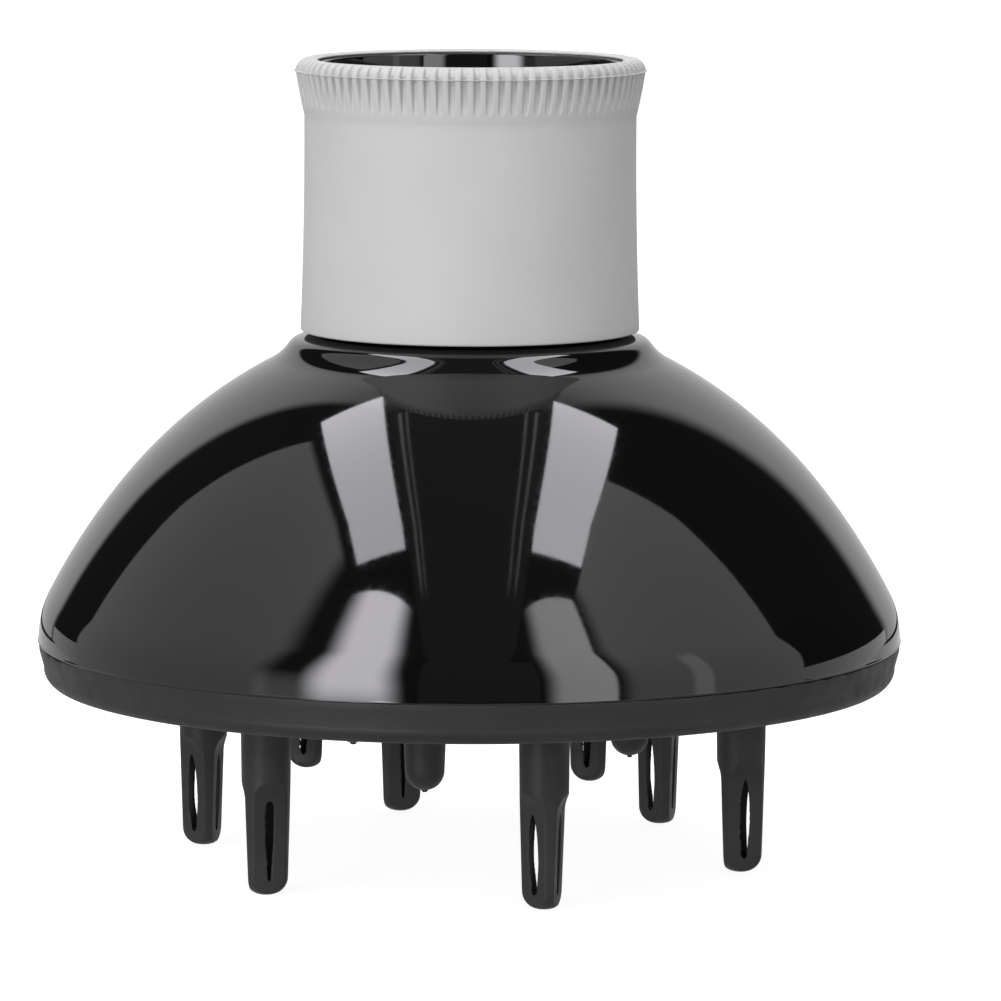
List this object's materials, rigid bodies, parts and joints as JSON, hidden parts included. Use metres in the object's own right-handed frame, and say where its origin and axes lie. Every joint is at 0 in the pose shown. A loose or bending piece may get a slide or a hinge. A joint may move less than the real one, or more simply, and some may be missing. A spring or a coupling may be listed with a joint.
{
  "type": "dryer diffuser",
  "caption": "Bowl-shaped hair-dryer diffuser with a soft grip sleeve on its neck and a comb of hollow slotted fingers that it stands on.",
  "frame": {"origin": "on the bowl's axis, in the plane that the long finger tips touch, which is what the diffuser stands on", "axes": "+Z along the bowl's axis, out of the neck towards the dryer; -Y is the front, and the fingers stand at 15 degrees from it and every 60 degrees on"},
  "size_m": [0.1554, 0.1554, 0.1446],
  "materials": {
    "sleeve": "matte grey elastomer",
    "bowl": "high gloss black",
    "comb": "matte charcoal",
    "fingers": "matte charcoal"
  },
  "bodies": {
    "comb": {"comb_plate": "comb", "long_finger_1": "fingers", "long_finger_2": "fingers", "long_finger_3": "fingers", "long_finger_4": "fingers", "long_finger_5": "fingers", "long_finger_6": "fingers", "slotted_finger_1": "fingers", "slotted_finger_2": "fingers", "slotted_finger_3": "fingers", "plain_finger_1": "fingers", "plain_finger_2": "fingers", "plain_finger_3": "fingers"},
    "bowl": {"bowl": "bowl"},
    "sleeve": {"grip_sleeve": "sleeve"}
  },
  "joints": [
    {"name": "bowl_lift", "type": "slide", "parent": "comb", "child": "bowl", "axis": [0, 0, 1], "range_m": [0, 0.03]},
    {"name": "sleeve_pull", "type": "slide", "parent": "bowl", "child": "sleeve", "axis": [0, 0, 1], "range_m": [0, 0.05]}
  ]
}
